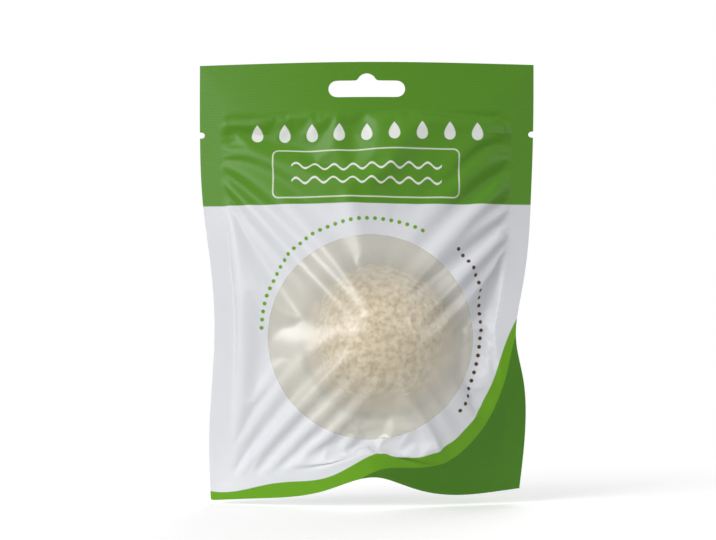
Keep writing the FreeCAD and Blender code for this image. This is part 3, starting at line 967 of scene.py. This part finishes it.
# %% Studio
def lamp(name, place, size, watts, aim=(0, 0, -0.08)):
    bpy.ops.object.light_add(type="AREA", location=place)
    light = bpy.context.object
    light.name = name
    light.data.size = size
    light.data.energy = watts
    light.rotation_euler = (Vector(aim) - Vector(place)).to_track_quat("-Z", "Y").to_euler()
    return light


def seen_ray(tree):
    """1 for rays that the camera sends straight, off a gloss or through film, and 0 for others."""
    path = tree.nodes.new("ShaderNodeLightPath")
    seen = math_node(tree, "ADD", path.outputs["Is Camera Ray"], path.outputs["Is Glossy Ray"])
    return math_node(tree, "ADD", seen, path.outputs["Is Transmission Ray"], clamp=True)


lamp("key_lamp", (-0.75, -0.70, 0.35), 0.7, 10)
lamp("fill_lamp", (0.8, -0.6, 0.2), 0.5, 1.8)
lamp("back_lamp", (0.3, 0.9, 0.5), 0.8, 5)
world = bpy.data.worlds.new("studio")
scene.world = world
world.use_nodes = True
tree = world.node_tree
sky = tree.nodes["Background"]
sky.inputs["Color"].default_value = (0.46, 0.46, 0.46, 1)
white = tree.nodes.new("ShaderNodeBackground")
white.inputs["Color"].default_value = (1, 1, 1, 1)
choose = tree.nodes.new("ShaderNodeMixShader")
tree.links.new(seen_ray(tree), choose.inputs["Fac"])
tree.links.new(sky.outputs[0], choose.inputs[1])
tree.links.new(white.outputs[0], choose.inputs[2])
tree.links.new(choose.outputs[0], tree.nodes["World Output"].inputs["Surface"])
scene.view_settings.view_transform = "Standard"
print("lamps:", [light.name for light in bpy.data.lights])

# %% [markdown]
# The pouch stands on a plain white floor that keeps its soft shadow. A little of the floor's own glow
# brings it near the background's white, and it fades into that white within a third of a metre.

# %% Floor
FLOOR_Z = -0.1625
FLOOR_GLOW = 0.2
FADE_SLOPE, FADE_START = 6.0, -0.6
bpy.ops.mesh.primitive_plane_add(size=6, location=(0, 0, FLOOR_Z))
floor = bpy.context.object
floor.name = "floor"
floor_finish, tree, shader = new_material("floor_white")
shader.inputs["Base Color"].default_value = (0.82, 0.82, 0.82, 1)
shader.inputs["Roughness"].default_value = 0.9
shader.inputs["Emission Color"].default_value = (1, 1, 1, 1)
own_glow = math_node(tree, "MULTIPLY", seen_ray(tree), FLOOR_GLOW)
tree.links.new(own_glow, shader.inputs["Emission Strength"])
glow = tree.nodes.new("ShaderNodeEmission")
tree.links.new(seen_ray(tree), glow.inputs["Strength"])
place = tree.nodes.new("ShaderNodeTexCoord")
far = tree.nodes.new("ShaderNodeVectorMath")
far.operation = "LENGTH"
tree.links.new(place.outputs["Object"], far.inputs[0])
fade = tree.nodes.new("ShaderNodeMixShader")
faded = math_node(tree, "MULTIPLY_ADD", far.outputs["Value"], FADE_SLOPE, FADE_START, clamp=True)
tree.links.new(faded, fade.inputs["Fac"])
tree.links.new(shader.outputs[0], fade.inputs[1])
tree.links.new(glow.outputs[0], fade.inputs[2])
tree.links.new(fade.outputs[0], tree.nodes["Material Output"].inputs["Surface"])
floor.data.materials.append(floor_finish)
print("floor at z", FLOOR_Z)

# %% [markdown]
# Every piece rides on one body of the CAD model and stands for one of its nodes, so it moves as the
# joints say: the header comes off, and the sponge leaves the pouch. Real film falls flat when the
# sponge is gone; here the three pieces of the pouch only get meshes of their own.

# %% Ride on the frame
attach(panel, "pouch")
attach(window, "pouch")
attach(back, "pouch")
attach(header_front, "header")
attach(header_back, "header")
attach(sponge, "sponge")
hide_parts("front_panel")
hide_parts("front_window")
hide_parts("back_panel")
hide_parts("header_front")
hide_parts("header_back")
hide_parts("sponge")
for piece in (panel, window, back):
    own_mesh(piece)

# %% [markdown]
# A sheet's size is what it was cut to, before it was bent. The panel and the headers are rectangles
# less their holes. The window's cut isn't round, because the film slopes inside the circle that the
# camera sees, so its flat size and area are measured on its flat triangles.

# %% Flat sizes
def flat_area(flat, faces):
    """The area of a piece as it is cut, in square metres."""
    a, b, c = flat[faces].transpose(1, 0, 2) * MM
    (ux, uz), (vx, vz) = (b - a).T, (c - a).T
    return float(np.abs(ux * vz - uz * vx).sum() / 2)


WINDOW_AREA = flat_area(front_flat, front_faces[in_window])
